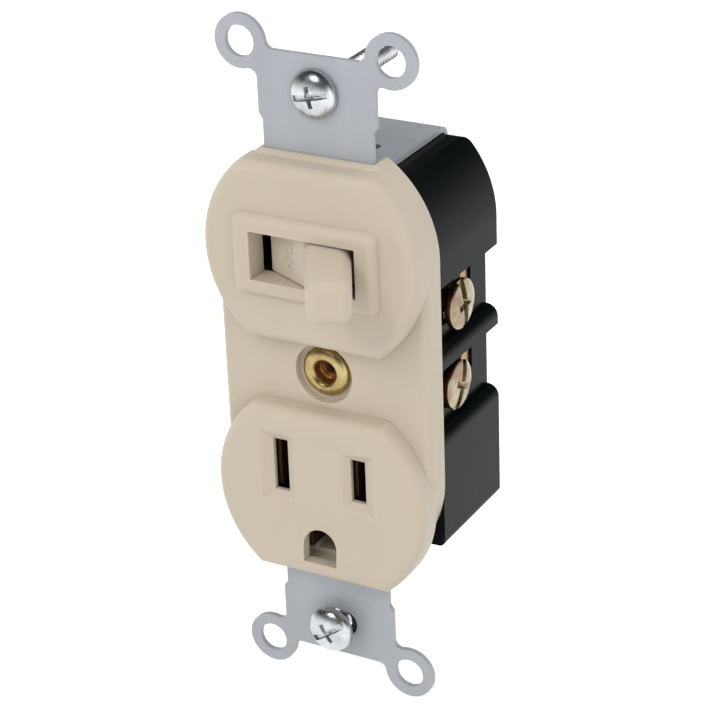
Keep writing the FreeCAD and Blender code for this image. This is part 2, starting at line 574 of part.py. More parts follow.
def build_toggle():
    """Ivory toggle with its trunnions, and the sprung plunger in its boss, drawn upright about the pivot."""
    half = "window_height / 2 - easy"
    lever = frustum("lever", ("-lever_reach", "-shoulder_rise + skirt_thick"),
                    ("-lever_tip / 2", "lever_tip / 2", f"-({half}) + lever_taper", f"{half} - lever_taper"),
                    ("-lever_root / 2", "lever_root / 2", f"-({half})", half))
    tip = value("-lever_reach")
    root = value("-shoulder_rise + skirt_thick")

    def outer_edge(edge):
        place = middle(edge)
        return not flat_at(edge, root) and place.y > tip - 1

    lever = rounded("lever_rounded", lever, "lever_round", outer_edge)
    skirt = prism("skirt", "xy", [("-lever_root / 2", "-shoulder_rise"), ("lever_root / 2", "-shoulder_rise"),
                                  ("skirt_span / 2", "skirt_drop"),
                                  ("skirt_span / 2 - skirt_thick / 2", "skirt_drop + skirt_thick"),
                                  ("-skirt_span / 2 + skirt_thick / 2", "skirt_drop + skirt_thick"),
                                  ("-skirt_span / 2", "skirt_drop")], (f"-({half})", half))
    trunnions = rod("trunnions", "z", ("0", "0"), "trunnion", ("-trunnion_length / 2", "trunnion_length / 2"))
    boss = rod("boss", "y", ("0", "0"), "boss", ("0", "boss_drop"))
    bore = rod("boss_bore", "y", ("0", "0"), "spring_bore", ("spring_seat", "boss_drop + 1"))
    body = cut("toggle", fuse("toggle_whole", lever, skirt, trunnions, boss), bore)
    node(placed("toggle_placed", body, TOGGLE_PLACE, "toggle_tilt"), "toggle_lever")

    stem = rod("plunger_stem", "y", ("0", "0"), "spring_bore - 2 * gap",
               ("plunger_top", "plunger_drop - spring_bore / 2 + gap"))
    nose = doc.addObject("Part::Sphere", "plunger_nose")
    nose.setExpression("Radius", bound("spring_bore / 2 - gap"))
    move(nose, y="plunger_drop - spring_bore / 2 + gap")
    plunger = fuse("plunger", stem, nose)
    node(placed("plunger_placed", plunger, TOGGLE_PLACE, "toggle_tilt"), "detent_plunger")

    coil = doc.addObject("Part::Helix", "coil")
    height = "plunger_top - spring_seat - spring_wire - 2 * fit"
    coil.setExpression("Height", bound(height))
    coil.setExpression("Pitch", bound(f"({height}) / spring_turns"))
    coil.setExpression("Radius", bound("spring_coil / 2"))
    section = doc.addObject("Part::Circle", "coil_section")
    section.Placement = Placement(Vector(), Rotation(Vector(1, 0, 0), 90))
    section.setExpression("Radius", bound("spring_wire / 2"))
    move(section, x="spring_coil / 2")
    doc.recompute()
    spring = doc.addObject("Part::Sweep", "spring")
    spring.Sections = [section]
    spring.Spine = (coil, [f"Edge{index}" for index in range(1, len(coil.Shape.Edges) + 1)])
    spring.Solid = True
    spring.Frenet = True
    spring.Placement = Placement(Vector(), TURNS["y"])
    move(spring, y="spring_seat + spring_wire / 2 + fit")
    node(placed("spring_placed", spring, TOGGLE_PLACE, "toggle_tilt"), "toggle_spring")


def build_rocker():
    """The switch's contacts: a curved brass rocker on two pins, and the silver tips."""
    place = ("0", ROCKER_DEPTH, HIGH)
    width = ("-rocker_width / 2", "rocker_width / 2")
    centre = f"-({ARC} + rocker_strip / 2)"
    ring = cut("rocker_ring", rod("rocker_outer", "z", ("0", centre), f"2 * ({ARC} + rocker_strip)", width),
               rod("rocker_inner", "z", ("0", centre), f"2 * {ARC}", width))
    arc = common("rocker_arc_strip", ring, box("rocker_arc_band", ("-rocker_arc / 2", "rocker_arc / 2"),
                                               (centre, "rocker_strip"), width))
    wing = f"({centre} + sqrt(({ARC} + rocker_strip / 2) ^ 2 - rocker_arc ^ 2 / 4))"
    wings = [box(f"wing_{hand}", x, (f"{wing} - rocker_strip / 2", f"{wing} + rocker_strip / 2"), width)
             for hand, x in (("left", ("-rocker_span / 2", "-rocker_arc / 2 + rocker_strip / 2")),
                             ("right", ("rocker_arc / 2 - rocker_strip / 2", "rocker_span / 2")))]
    pins = [rod(f"rocker_pin_{name}", "z", ("0", "0"), "rocker_pin", z)
            for name, z in (("low", ("-rocker_width / 2 - gap - ear_thick", "-rocker_width / 2 + gap")),
                            ("high", ("rocker_width / 2 - gap", "rocker_width / 2 + gap + ear_thick")))]
    rocker = fuse("rocker", arc, *wings, *pins)
    node(placed("rocker_placed", rocker, place, "-rocker_tilt"), "contact_rocker")

    back = f"{wing} + rocker_strip / 2"
    moving = rod("moving_tip", "y", ("-tip_place", "0"), "2 * tip_radius", (back, f"{back} + tip_height"))
    node(placed("moving_tip_placed", moving, place, "-rocker_tilt"), "moving_contact_tip")
    fixed = rod("fixed_tip", "y", ("-tip_place", "0"), "2 * tip_radius",
                (f"{back} + tip_height + fit", f"{back} + 2 * tip_height + fit"))
    return node(placed("fixed_tip_placed", fixed, place, "-rocker_tilt"), "fixed_contact_tip")


def screw_hole(name, sign, z):
    return rod(name, "x", ("screw_depth", z), "terminal_shank + 2 * fit",
               (f"{PLATE_INNER} - 1", f"{PLATE_OUTER} + 1") if sign > 0
               else mirrored((f"{PLATE_INNER} - 1", f"{PLATE_OUTER} + 1")))


def build_terminals(fixed_tip):
    """Brass strips: each has a plate in a screw recess and an arm to its contact."""
    right = (PLATE_INNER, PLATE_OUTER)
    left = mirrored(right)
    deep = ("plate_front", "window_back - gap")
    top = f"{HIGH} + rocker_width / 2 + gap + ear_thick"
    arm_z = (f"{HIGH} - rocker_width / 2 - gap - ear_thick", top)
    ears = [box(f"ear_{name}", ("-rocker_pin", "rocker_pin"),
                (f"{ROCKER_DEPTH} - rocker_pin", "arm_depth + brass / 2"), z)
            for name, z in (("low", (arm_z[0], f"{HIGH} - rocker_width / 2 - gap")),
                            ("high", (f"{HIGH} + rocker_width / 2 + gap", top)))]
    hot_half = "hot_slot / 2"
    line = fuse("line_whole",
                box("line_plate", right, deep, ("-block_top + gap", top)),
                box("line_arm", ("0", PLATE_MIDDLE), ("arm_depth", "arm_depth + brass"),
                    ("recess_top + base_wall + gap", top)),
                box("line_pad", ("-rocker_pin", "2 * rocker_pin"), ("arm_depth", "arm_depth + brass"),
                    arm_z), *ears,
                box("line_leg", right, ("screw_depth", "window_back - gap"),
                    (f"{BLADE_LINE} - {hot_half}", "-block_top + 1")),
                box("line_foot", ("slot_pitch / 2 + blade_gap / 2 + leaf + 1", PLATE_MIDDLE),
                    ("contact_arm_depth", "contact_arm_depth + brass"),
                    (f"{BLADE_LINE} - {hot_half}", f"{BLADE_LINE} + {hot_half}")))
    node(cut("line", line, screw_hole("line_hole_high", 1, "line_screw_high"),
             screw_hole("line_hole_low", 1, "-line_screw_low"),
             rod("line_pivot", "z", ("0", ROCKER_DEPTH), "rocker_pin + 2 * fit", arm_z),
             box("break_off_slot", (f"{PLATE_INNER} - 1", f"{PLATE_OUTER} + 1"),
                 ("plate_front + tab_web", "window_back - gap - tab_web"),
                 ("fin_bottom + tab_slot / 2", "fin_bottom + 3 * tab_slot / 2"))), "line_terminal")

    switched = fuse("switched_whole", box("switched_plate", left, deep, ("fin_top + gap", top)),
                    box("switched_arm", (f"-{PLATE_MIDDLE}", "-tip_place + tip_radius + fit"),
                        ("fixed_arm_depth", "fixed_arm_depth + brass"),
                        (f"{HIGH} - rocker_width / 2", f"{HIGH} + rocker_width / 2")))
    node(cut("switched", switched, screw_hole("switched_hole", -1, "line_screw_high"), fixed_tip),
         "switched_terminal")

    low = "-ground_screw_low + ground_recess / 2 + 1"
    neutral_half = "neutral_slot / 2"
    neutral = fuse("neutral_whole",
                   box("neutral_plate", left, deep, ("-block_top + gap", "fin_bottom - gap")),
                   box("neutral_leg", left, ("screw_depth", "window_back - gap"), (low, "-block_top + 1")),
                   box("neutral_foot", (f"-{PLATE_MIDDLE}", "-slot_pitch / 2 - blade_gap / 2 - leaf - 1"),
                       ("contact_arm_depth", "contact_arm_depth + brass"),
                       (low, f"{BLADE_LINE} + {neutral_half}")))
    node(cut("neutral", neutral, screw_hole("neutral_hole", -1, "-line_screw_low")), "neutral_terminal")

    ground = fuse("ground_whole",
                  box("ground_plate", left, deep,
                      ("-base_bottom + base_wall + gap", "-ground_screw_low + ground_recess / 2 - gap")),
                  box("ground_arm", (f"-{PLATE_MIDDLE}", "ground_tail / 2"),
                      ("ground_base + brass", "ground_base + 2 * brass"),
                      ("-base_bottom + base_wall + gap", "-ground_screw_low")))
    node(cut("ground", ground, screw_hole("ground_hole", -1, "-ground_screw_low")), "ground_terminal")


def build_contacts():
    """Folded brass spring contacts behind the three openings of the socket."""
    for name, sign, height in (("hot", 1, "hot_slot"), ("neutral", -1, "neutral_slot")):
        z = (f"{BLADE_LINE} - {height} / 2", f"{BLADE_LINE} + {height} / 2")
        inner = ("slot_pitch / 2 - blade_gap / 2 - leaf", "slot_pitch / 2 - blade_gap / 2")
        outer = ("slot_pitch / 2 + blade_gap / 2", "slot_pitch / 2 + blade_gap / 2 + leaf")
        base = (inner[0], f"{PLATE_MIDDLE} - 1")
        if sign < 0:
            inner, outer, base = mirrored(inner), mirrored(outer), mirrored(base)
        y = ("-leaf_front", "contact_arm_depth")
        node(fuse(f"{name}_contact", box(f"{name}_leaf_inner", inner, y, z),
                  box(f"{name}_leaf_outer", outer, y, z),
                  box(f"{name}_base", base, ("contact_arm_depth - brass", "contact_arm_depth"), z)),
             f"{name}_blade_contact")
    z = ("-base_top + cover_wall + gap", f"{GROUND_LINE} + ground_radius")
    inner = "ground_gap / 2"
    leaves = [box(f"ground_leaf_{hand}", x, ("-leaf_front", "ground_base + brass"), z)
              for hand, x in (("right", (inner, f"{inner} + leaf")),
                              ("left", mirrored((inner, f"{inner} + leaf"))))]
    plate = box("ground_plate_base", (f"-{inner} - leaf", f"{inner} + leaf"),
                ("ground_base", "ground_base + brass"), (z[0], "-ground_screw_low"))
    tail = box("ground_tail_strip", ("-ground_tail / 2", "ground_tail / 2"),
               ("ground_base", "ground_base + brass"),
               ("-base_top - gap", "-base_top + cover_wall + 2 * gap"))
    node(fuse("ground_contact_whole", *leaves, plate, tail), "ground_contact")


def screw(name, axis, centre, head, head_height, shank, length, seat, out):
    """A pan head with a combination recess, and its shank. seat is the head's underside; out is +1 or -1."""
    far = f"{seat} + ({head_height})" if out > 0 else f"{seat} - ({head_height})"
    end = f"{seat} - ({length})" if out > 0 else f"{seat} + ({length})"
    head_span = (seat, far) if out > 0 else (far, seat)
    shank_span = (end, seat) if out > 0 else (seat, end)
    pan = rod(f"{name}_pan", axis, centre, head, head_span)
    rim = value(far)
    which = "XYZ"["xyz".index(axis)]
    pan = rounded(f"{name}_pan_rounded", pan, "head_round",
                  lambda edge: near(getattr(edge.BoundBox, which + "Min"), rim)
                  and near(getattr(edge.BoundBox, which + "Max"), rim))
    stem = rod(f"{name}_stem", axis, centre, shank, shank_span)
    deep = (f"{far} - driver_depth", f"{far} + 1") if out > 0 else (f"{far} - 1", f"{far} + driver_depth")
    first, second = centre
    half = "driver_slot / 2"
    grooves = []
    for label, across, along_it in (("wide", f"({head})", half), ("cross", half, f"({head}) / 4")):
        spans = [(f"{first} - {across}", f"{first} + {across}"),
                 (f"{second} - {along_it}", f"{second} + {along_it}")]
        spans.insert("xyz".index(axis), deep)
        grooves.append(box(f"{name}_{label}", *spans))
    return cut(name, fuse(f"{name}_whole", pan, stem), *grooves)


def build_fasteners():
    """Terminal screws, mounting screws with their retaining washers, and the centre rivet."""
    terminals = (("line_screw_upper", 1, "line_screw_high", "backed_out"),
                 ("line_screw_lower", 1, "-line_screw_low", "0"),
                 ("switched_screw", -1, "line_screw_high", "backed_out"),
                 ("neutral_screw", -1, "-line_screw_low", "0"),
                 ("ground_screw", -1, "-ground_screw_low", "0"))
    for name, sign, z, out in terminals:
        seat = f"({RECESS_FLOOR} + gap + {out})"
        node(screw(name + "_body", "x", ("screw_depth", z), "terminal_head", "terminal_head_height",
                   "terminal_shank", "terminal_length", seat if sign > 0 else f"-{seat}", sign), name)
    for name, z, proud in (("top", "screw_spacing / 2", "0"),
                           ("bottom", "-screw_spacing / 2", "bottom_proud")):
        seat = f"(-strap_gauge - {proud})"
        whole = screw(f"mounting_{name}", "y", ("0", z), "mount_head", "mount_head_height", "mount_shank",
                      "mount_length", seat, -1)
        neck = (seat, f"{seat} + neck_length")
        relief = cut(f"relief_{name}", rod(f"relief_outer_{name}", "y", ("0", z), "mount_head", neck),
                     rod(f"relief_inner_{name}", "y", ("0", z), "mount_neck", neck))
        node(cut(f"mounting_{name}_necked", whole, relief), f"mounting_screw_{name}")
        washer = box(f"washer_{name}", ("-washer / 2", "washer / 2"), ("0", "washer_thick"),
                     (f"{z} - washer / 2", f"{z} + washer / 2"))
        corners = rounded(f"washer_{name}_round", washer, "washer / 5", lambda edge: along(edge, "y"))
        hole = rod(f"washer_{name}_hole", "y", ("0", z), "mount_shank + 2 * fit", ("-1", "washer_thick + 1"))
        node(cut(f"washer_{name}_done", corners, hole), f"retaining_washer_{name}")
    floor = "-flange_front + rivet_recess_depth"
    back = "body_back + strap_gauge"
    head = rod("rivet_head_disc", "y", ("0", "0"), "rivet_head", (f"{floor} - rivet_rim", floor))
    rim = value(f"{floor} - rivet_rim")
    head = rounded("rivet_head_round", head, "rivet_rim / 2", lambda edge: flat_at(edge, rim))
    rolled = rod("rivet_rolled", "y", ("0", "0"), "rivet_head - rivet_rim", (back, f"{back} + rivet_rim"))
    barrel = rod("rivet_tube", "y", ("0", "0"), "rivet_barrel", (floor, back))
    bore = rod("rivet_bore_cut", "y", ("0", "0"), "rivet_bore", ("-2 * face_front", "2 * body_back"))
    node(cut("rivet", fuse("rivet_whole", head, rolled, barrel), bore), "centre_rivet")


build_strap()
build_cover()
build_base()
build_toggle()
build_terminals(build_rocker())
build_contacts()
build_fasteners()

doc.recompute()
bad = [piece.Label for piece in doc.Objects if {"Invalid", "Error"} & set(piece.State)]
bad += [piece.Label for piece in nodes if piece.Shape.isNull() or not piece.Shape.isValid()]
if bad:
    raise RuntimeError("failed: " + ", ".join(bad))
os.makedirs("parts", exist_ok=True)
for piece in nodes:
    piece.Shape.exportStep(f"parts/{piece.Label}.step")
    print(piece.Label, len(piece.Shape.Solids), round(piece.Shape.Volume, 1))
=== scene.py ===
import json
import math

import bmesh
import bpy
from mathutils import Matrix, Quaternion, Vector

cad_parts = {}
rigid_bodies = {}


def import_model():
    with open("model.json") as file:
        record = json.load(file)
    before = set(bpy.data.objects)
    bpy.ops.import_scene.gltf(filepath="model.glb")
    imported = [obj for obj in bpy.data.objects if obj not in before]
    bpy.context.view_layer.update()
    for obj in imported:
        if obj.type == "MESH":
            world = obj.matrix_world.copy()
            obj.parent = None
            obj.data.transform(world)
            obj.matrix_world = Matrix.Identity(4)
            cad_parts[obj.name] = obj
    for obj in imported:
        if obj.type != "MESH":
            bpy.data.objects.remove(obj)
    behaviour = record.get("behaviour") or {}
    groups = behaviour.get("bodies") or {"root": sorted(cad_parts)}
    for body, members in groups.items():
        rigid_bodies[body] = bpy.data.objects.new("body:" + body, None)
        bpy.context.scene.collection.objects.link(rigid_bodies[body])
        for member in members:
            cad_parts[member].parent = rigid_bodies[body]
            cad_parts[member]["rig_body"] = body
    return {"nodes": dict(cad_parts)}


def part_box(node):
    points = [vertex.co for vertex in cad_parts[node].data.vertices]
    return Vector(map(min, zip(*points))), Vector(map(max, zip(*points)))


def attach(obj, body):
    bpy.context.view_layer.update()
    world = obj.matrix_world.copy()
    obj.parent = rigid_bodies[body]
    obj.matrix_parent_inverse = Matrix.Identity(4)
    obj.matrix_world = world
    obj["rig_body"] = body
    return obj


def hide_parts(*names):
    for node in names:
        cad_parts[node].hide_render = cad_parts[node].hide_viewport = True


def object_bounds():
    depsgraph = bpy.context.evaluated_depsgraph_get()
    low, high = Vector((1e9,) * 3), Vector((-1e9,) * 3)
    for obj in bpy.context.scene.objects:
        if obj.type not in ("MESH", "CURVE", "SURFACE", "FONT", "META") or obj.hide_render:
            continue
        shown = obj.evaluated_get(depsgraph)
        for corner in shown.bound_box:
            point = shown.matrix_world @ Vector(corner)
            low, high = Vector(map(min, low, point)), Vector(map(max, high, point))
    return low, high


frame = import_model()
nodes = frame["nodes"]
cad_box = [list(corner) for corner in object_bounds()]
scene = bpy.context.scene
scene.view_settings.view_transform = "Standard"


# The photograph's view, as fitted to the device's known spacings: a long lens about a third of a
# metre away, to the right of the device's front and a little above it.
MM = 0.001
camera_data = bpy.data.cameras.new("camera")
camera_data.lens = 124.99
camera_data.sensor_width = 36.0
camera_data.shift_x = 0.0056
camera_data.shift_y = -0.0203
camera_data.clip_start = 0.01
camera = bpy.data.objects.new("camera", camera_data)
scene.collection.objects.link(camera)
azimuth, elevation, roll = math.radians(29.892), math.radians(25.09), math.radians(-2.307)
away = Vector((math.sin(azimuth) * math.cos(elevation), -math.cos(azimuth) * math.cos(elevation),
               math.sin(elevation)))
aim = Vector((6.631, -5.5, 8.076)) * MM
distance = 340.568
camera.location = aim + away * distance * MM
camera.rotation_mode = "QUATERNION"
camera.rotation_quaternion = Quaternion(away, roll) @ away.to_track_quat("Z", "Y")
scene.camera = camera


# The table: a matt white sheet just under the lower ears, which the camera and the bright metal see
# as white, while it still takes the device's shadow.
def either(tree, first, second):
    """The larger of two masks, in a tree of shader nodes."""
    mask = tree.nodes.new("ShaderNodeMath")
    mask.operation = "MAXIMUM"
    tree.links.new(first, mask.inputs[0])
    tree.links.new(second, mask.inputs[1])
    return mask.outputs[0]


FLOOR_HALF = 1.5
FLOOR_DROP = 0.2 * MM
floor_mesh = bpy.data.meshes.new("floor")
floor_form = bmesh.new()
bmesh.ops.create_grid(floor_form, x_segments=1, y_segments=1, size=FLOOR_HALF)
bmesh.ops.translate(floor_form, verts=floor_form.verts, vec=(0, 0, cad_box[0][2] - FLOOR_DROP))
floor_form.to_mesh(floor_mesh)
floor_form.free()
floor = bpy.data.objects.new("floor", floor_mesh)
scene.collection.objects.link(floor)
floor_paint = bpy.data.materials.new("pale_floor")
floor_paint.use_nodes = True
paint_nodes, paint_links = floor_paint.node_tree.nodes, floor_paint.node_tree.links
floor_shader = paint_nodes["Principled BSDF"]
floor_shader.inputs["Base Color"].default_value = (0.82, 0.82, 0.82, 1)
floor_shader.inputs["Roughness"].default_value = 0.9
floor_shader.inputs["Emission Color"].default_value = (1, 1, 1, 1)
seen = paint_nodes.new("ShaderNodeLightPath")
any_view = either(floor_paint.node_tree, seen.outputs["Is Camera Ray"], seen.outputs["Is Glossy Ray"])
lift = paint_nodes.new("ShaderNodeMath")
lift.operation = "MULTIPLY"
lift.inputs[1].default_value = 0.55
paint_links.new(any_view, lift.inputs[0])
paint_links.new(lift.outputs[0], floor_shader.inputs["Emission Strength"])
floor_mesh.materials.append(floor_paint)


# The room: plain white to the camera, and a touch lower where it lights the device. Bright metal sees
# a dark ceiling in it, from a little above the horizon, which gives the screws their dark crowns.
world = bpy.data.worlds.new("studio")
world.use_nodes = True
scene.world = world
world_nodes, world_links = world.node_tree.nodes, world.node_tree.links
world_nodes.clear()
path = world_nodes.new("ShaderNodeLightPath")
straight = either(world.node_tree, path.outputs["Is Camera Ray"], path.outputs["Is Transmission Ray"])
seen_white = either(world.node_tree, straight, path.outputs["Is Glossy Ray"])
strength = world_nodes.new("ShaderNodeMapRange")
strength.inputs["To Min"].default_value = 0.92
strength.inputs["To Max"].default_value = 1.0
world_links.new(seen_white, strength.inputs["Value"])
sky = world_nodes.new("ShaderNodeTexCoord")
height = world_nodes.new("ShaderNodeSeparateXYZ")
world_links.new(sky.outputs["Generated"], height.inputs[0])
ceiling = world_nodes.new("ShaderNodeMapRange")
ceiling.inputs["From Min"].default_value = 0.0
ceiling.inputs["From Max"].default_value = 0.3
ceiling.inputs["To Min"].default_value = 1.0
ceiling.inputs["To Max"].default_value = 0.04
world_links.new(height.outputs["Z"], ceiling.inputs["Value"])
overhead = world_nodes.new("ShaderNodeMix")
overhead.inputs["A"].default_value = 1.0
world_links.new(path.outputs["Is Glossy Ray"], overhead.inputs["Factor"])
world_links.new(ceiling.outputs["Result"], overhead.inputs["B"])
total = world_nodes.new("ShaderNodeMath")
total.operation = "MULTIPLY"
world_links.new(strength.outputs["Result"], total.inputs[0])
world_links.new(overhead.outputs["Result"], total.inputs[1])
background = world_nodes.new("ShaderNodeBackground")
background.inputs["Color"].default_value = (1, 1, 1, 1)
world_links.new(total.outputs[0], background.inputs["Strength"])
world_out = world_nodes.new("ShaderNodeOutputWorld")
world_links.new(background.outputs[0], world_out.inputs["Surface"])


# Two soft boxes: the key light high in front, a little to the left, and a weaker one low on the
# right for the side faces.
for name, place, size, power in (("key_light", (-0.12, -0.5, 0.5), 0.3, 1.05),
                                 ("side_light", (0.56, -0.36, 0.12), 0.4, 0.45)):
    lamp_data = bpy.data.lights.new(name, "AREA")
    lamp_data.shape = "DISK"
    lamp_data.size = size
    lamp_data.energy = power
    lamp = bpy.data.objects.new(name, lamp_data)
    lamp.location = place
    lamp.rotation_mode = "QUATERNION"
    lamp.rotation_quaternion = Vector(place).to_track_quat("Z", "Y")
    scene.collection.objects.link(lamp)


# The strap: sheet steel, blanked and folded round the body, then zinc plated. The plating is a
# matt grey with a blue cast, finely speckled, with faint lines where the sheet was rolled.
def build_grain():
    """The pattern that every finish shares: slow patches of tone, and a fine grain with its relief."""
    group = bpy.data.node_groups.new("surface_grain", "ShaderNodeTree")
    for label, kind, start in (("Patch Scale", "NodeSocketFloat", 60.0),
                               ("Grain Scale", "NodeSocketFloat", 2000.0),
                               ("Stretch", "NodeSocketVector", (1.0, 1.0, 1.0)),
                               ("Depth", "NodeSocketFloat", 0.000004)):
        socket = group.interface.new_socket(label, in_out="INPUT", socket_type=kind)
        socket.default_value = start
    for label, kind in (("Patches", "NodeSocketFloat"), ("Grain", "NodeSocketFloat"),
                        ("Normal", "NodeSocketVector")):
        group.interface.new_socket(label, in_out="OUTPUT", socket_type=kind)
    inside, joins = group.nodes, group.links
    given = inside.new("NodeGroupInput")
    out = inside.new("NodeGroupOutput")
    place = inside.new("ShaderNodeTexCoord")
    drawn = inside.new("ShaderNodeMapping")
    joins.new(place.outputs["Object"], drawn.inputs["Vector"])
    joins.new(given.outputs["Stretch"], drawn.inputs["Scale"])
    for scale, label, detail in (("Patch Scale", "Patches", 2.0), ("Grain Scale", "Grain", 3.0)):
        noise = inside.new("ShaderNodeTexNoise")
        noise.inputs["Detail"].default_value = detail
        joins.new(drawn.outputs["Vector"], noise.inputs["Vector"])
        joins.new(given.outputs[scale], noise.inputs["Scale"])
        spread = inside.new("ShaderNodeMapRange")
        spread.inputs["From Min"].default_value = 0.3
        spread.inputs["From Max"].default_value = 0.7
        joins.new(noise.outputs["Fac"], spread.inputs["Value"])
        joins.new(spread.outputs["Result"], out.inputs[label])
    bump = inside.new("ShaderNodeBump")
    joins.new(spread.outputs["Result"], bump.inputs["Height"])
    joins.new(given.outputs["Depth"], bump.inputs["Distance"])
    joins.new(bump.outputs["Normal"], out.inputs["Normal"])
    return group


grain_group = build_grain()


def finish(name, dark, light, smooth, rough, metallic, pattern):
    """A material whose tone goes from dark to light and whose roughness goes from smooth to rough.

    Both follow the grain, and pattern sets the grain's own inputs by their names.
    """
    material = bpy.data.materials.new(name)
    material.use_nodes = True
    parts, joins = material.node_tree.nodes, material.node_tree.links
    shader = parts["Principled BSDF"]
    shader.inputs["Metallic"].default_value = metallic
    grain = parts.new("ShaderNodeGroup")
    grain.name = "grain"
    grain.node_tree = grain_group
    for label, number in pattern.items():
        grain.inputs[label].default_value = number
    tone = parts.new("ShaderNodeMix")
    tone.name = "tone"
    tone.data_type = "RGBA"
    tone.inputs["A"].default_value = (*dark, 1)
    tone.inputs["B"].default_value = (*light, 1)
    joins.new(grain.outputs["Patches"], tone.inputs["Factor"])
    joins.new(tone.outputs["Result"], shader.inputs["Base Color"])
    gloss = parts.new("ShaderNodeMapRange")
    gloss.name = "gloss"
    gloss.inputs["To Min"].default_value = smooth
    gloss.inputs["To Max"].default_value = rough
    joins.new(grain.outputs["Grain"], gloss.inputs["Value"])
    joins.new(gloss.outputs["Result"], shader.inputs["Roughness"])
    joins.new(grain.outputs["Normal"], shader.inputs["Normal"])
    return material


def paint(material, *names):
    """Give solid pieces a finish."""
    for name in names:
        for slot in nodes[name].material_slots:
            slot.material = material


zinc_plate = finish("zinc_plate", (0.37, 0.39, 0.42), (0.415, 0.435, 0.468), 0.38, 0.54, 0.1,
                    {"Patch Scale": 140.0, "Grain Scale": 2600.0, "Stretch": (1.0, 1.0, 0.35),
                     "Depth": 0.000006})
paint(zinc_plate, "mounting_strap")


# The housing behind the cover: a deep box of black phenolic, hot pressed in one piece with its screw
# recesses. It has a satin skin that greys at a low angle.
moulded_black = finish("moulded_black", (0.003, 0.0045, 0.0048), (0.005, 0.0068, 0.007),
                       0.14, 0.26, 0.0,
                       {"Patch Scale": 90.0, "Grain Scale": 1500.0, "Depth": 0.000005})
black_shader = moulded_black.node_tree.nodes["Principled BSDF"]
black_shader.inputs["Specular IOR Level"].default_value = 0.1
black_shader.inputs["IOR"].default_value = 1.38
paint(moulded_black, "base_housing")


# The terminals and the switch's rocker: brass strip, blanked and folded, then dropped into the
# housing from the front. It is pinkish, with lines from rolling.
brass_strip = finish("brass_strip", (0.36, 0.2, 0.12), (0.52, 0.34, 0.2), 0.3, 0.44, 1.0,
                     {"Patch Scale": 220.0, "Grain Scale": 1800.0, "Stretch": (1.0, 1.0, 0.12),
                      "Depth": 0.000003})
paint(brass_strip, "line_terminal", "switched_terminal", "neutral_terminal", "ground_terminal",
      "contact_rocker")


# The contacts behind the socket's three openings: bronze strip, folded and hardened. Their dark
# brown is painted shade, darker than the bronze itself, so that the openings look dark.
contact_bronze_painted_shade = finish("contact_bronze_painted_shade", (0.1, 0.055, 0.028), (0.18, 0.105, 0.05), 0.36, 0.52, 0.9,
                        {"Patch Scale": 260.0, "Grain Scale": 1800.0, "Stretch": (1.0, 1.0, 0.2),
                         "Depth": 0.000003})
paint(contact_bronze_painted_shade, "hot_blade_contact", "neutral_blade_contact", "ground_contact")


# The switch's two contact tips: small discs of silver alloy with a dull bloom. One is riveted to the
# rocker and the other to its terminal.
silver_alloy = finish("silver_alloy", (0.6, 0.6, 0.58), (0.78, 0.78, 0.76), 0.3, 0.45, 1.0,
                      {"Patch Scale": 500.0, "Grain Scale": 3000.0, "Depth": 0.000003})
paint(silver_alloy, "moving_contact_tip", "fixed_contact_tip")


# The toggle's spring: bare steel wire, coiled cold and pressed into the toggle's boss behind the
# plunger. Drawing has left it bright.
spring_wire = finish("spring_wire", (0.32, 0.32, 0.33), (0.46, 0.46, 0.47), 0.22, 0.36, 1.0,
                     {"Patch Scale": 600.0, "Grain Scale": 4000.0, "Depth": 0.000002})
paint(spring_wire, "toggle_spring")


# The toggle's plunger and the squares that keep the mounting screws in place: black fibre, pressed
# and left rough. The squares are pushed onto the screws from behind.
pressed_fibre = finish("pressed_fibre", (0.016, 0.016, 0.016), (0.03, 0.029, 0.028), 0.6, 0.8, 0.0,
                       {"Patch Scale": 300.0, "Grain Scale": 2400.0, "Depth": 0.00002})
paint(pressed_fibre, "detent_plunger", "retaining_washer_top", "retaining_washer_bottom")


# The cover and the toggle: ivory thermoplastic, moulded in a finely blasted tool, with a soft sheen.
# A little light goes into it, which rounds off the shadows at its edges.
moulded_ivory = finish("moulded_ivory", (0.565, 0.498, 0.398), (0.59, 0.522, 0.418), 0.36, 0.5, 0.0,
                       {"Patch Scale": 45.0, "Grain Scale": 3200.0, "Depth": 0.000003})
ivory_shader = moulded_ivory.node_tree.nodes["Principled BSDF"]
ivory_shader.inputs["Specular IOR Level"].default_value = 0.2
ivory_shader.inputs["Subsurface Weight"].default_value = 0.5
ivory_shader.inputs["Subsurface Radius"].default_value = (1.0, 0.8, 0.6)
ivory_shader.inputs["Subsurface Scale"].default_value = 0.9 * MM
paint(moulded_ivory, "front_cover", "toggle_lever")


